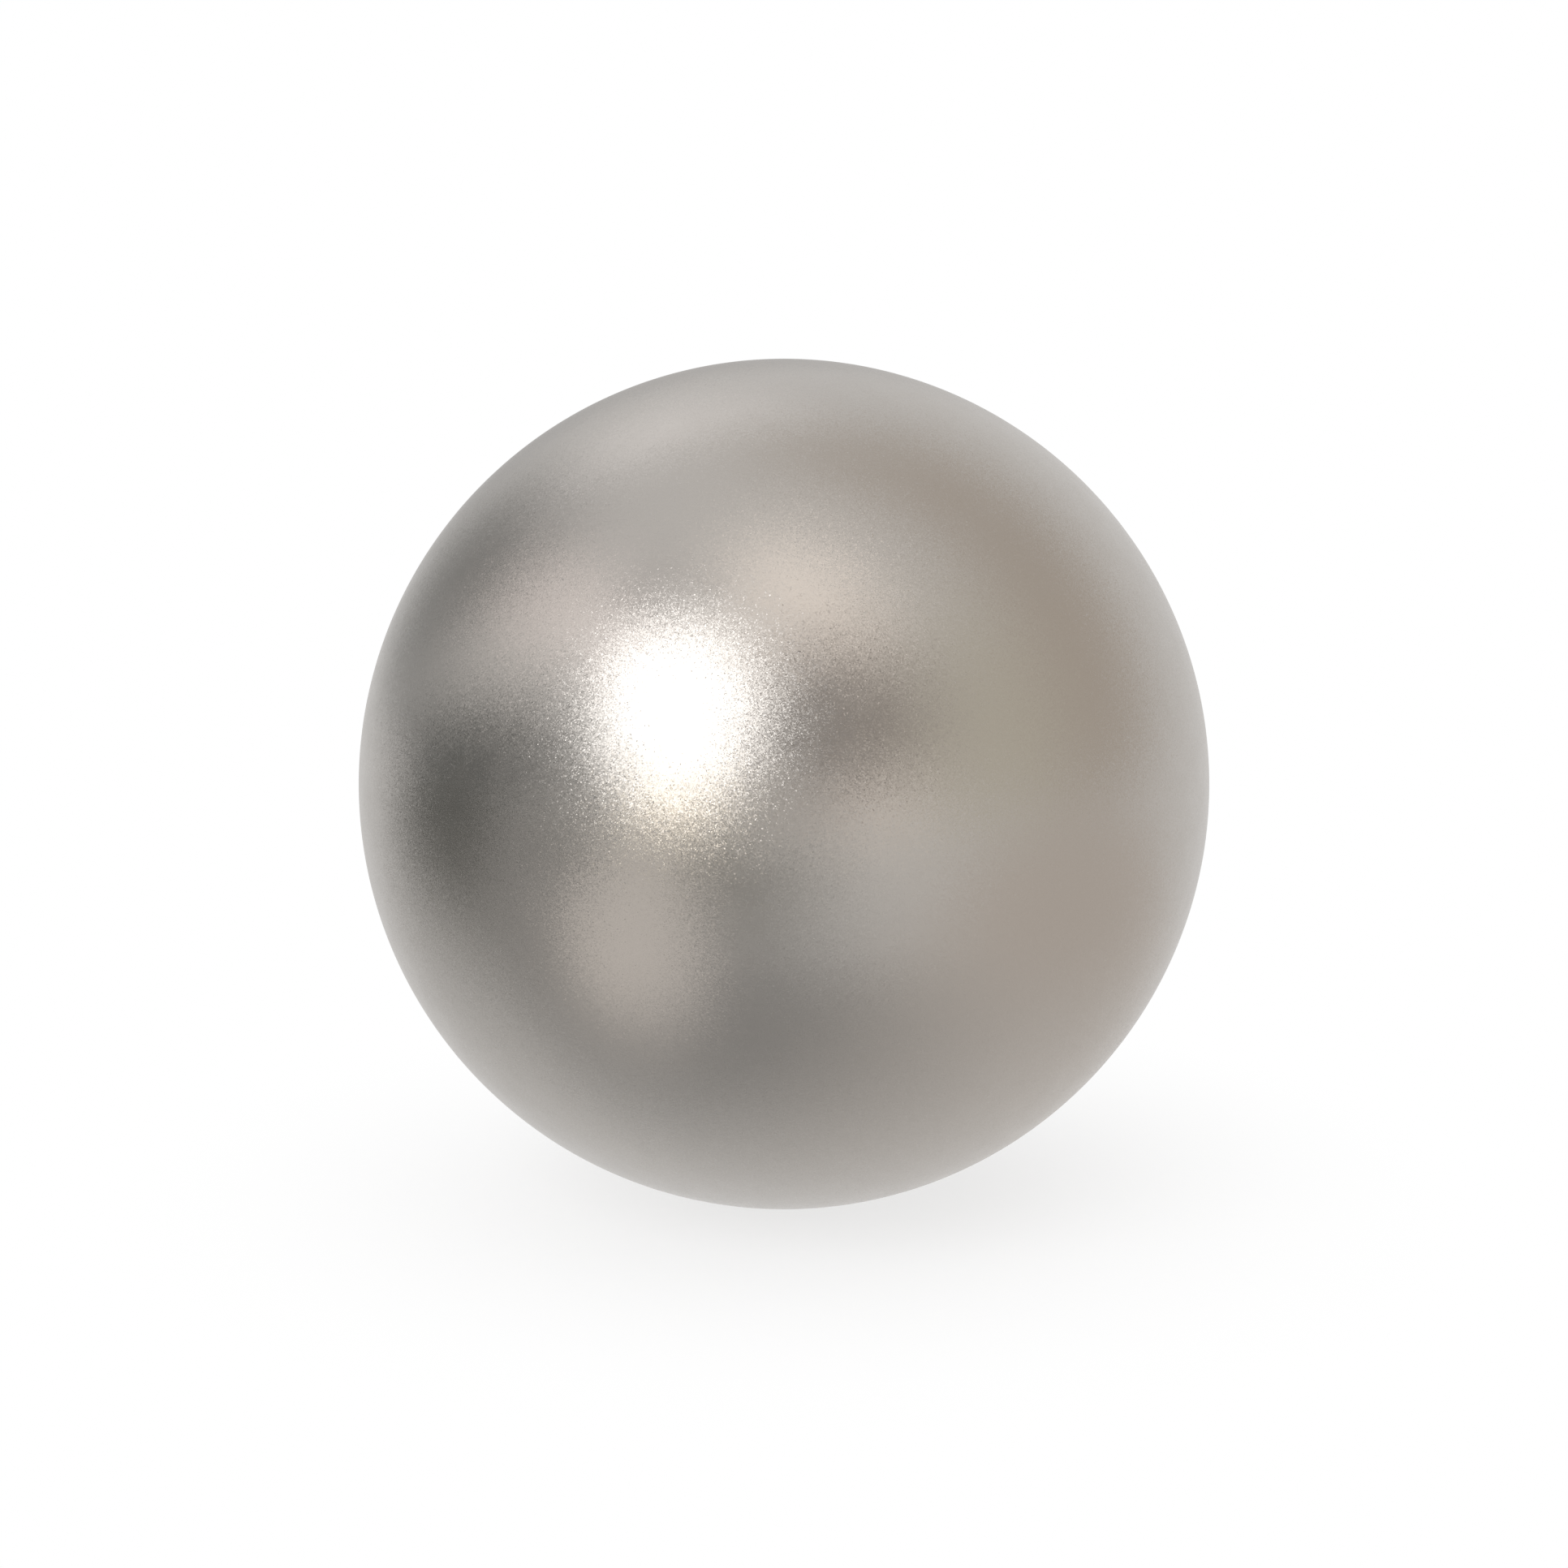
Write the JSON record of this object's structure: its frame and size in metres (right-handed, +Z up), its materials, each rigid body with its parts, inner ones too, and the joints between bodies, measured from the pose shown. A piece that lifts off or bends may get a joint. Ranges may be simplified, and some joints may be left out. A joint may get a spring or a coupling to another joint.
{
  "type": "steel ball",
  "caption": "Solid round steel ball, smooth all over, with a fine satin grey finish.",
  "frame": {"origin": "centre of the ball", "axes": "+Z up through the centre; every axis through the centre is alike, and the seat mount is at the lowest point"},
  "size_m": [0.0254, 0.0254, 0.0254],
  "materials": {
    "steel": "satin"
  },
  "bodies": {
    "root": {"ball": "steel"}
  },
  "joints": []
}
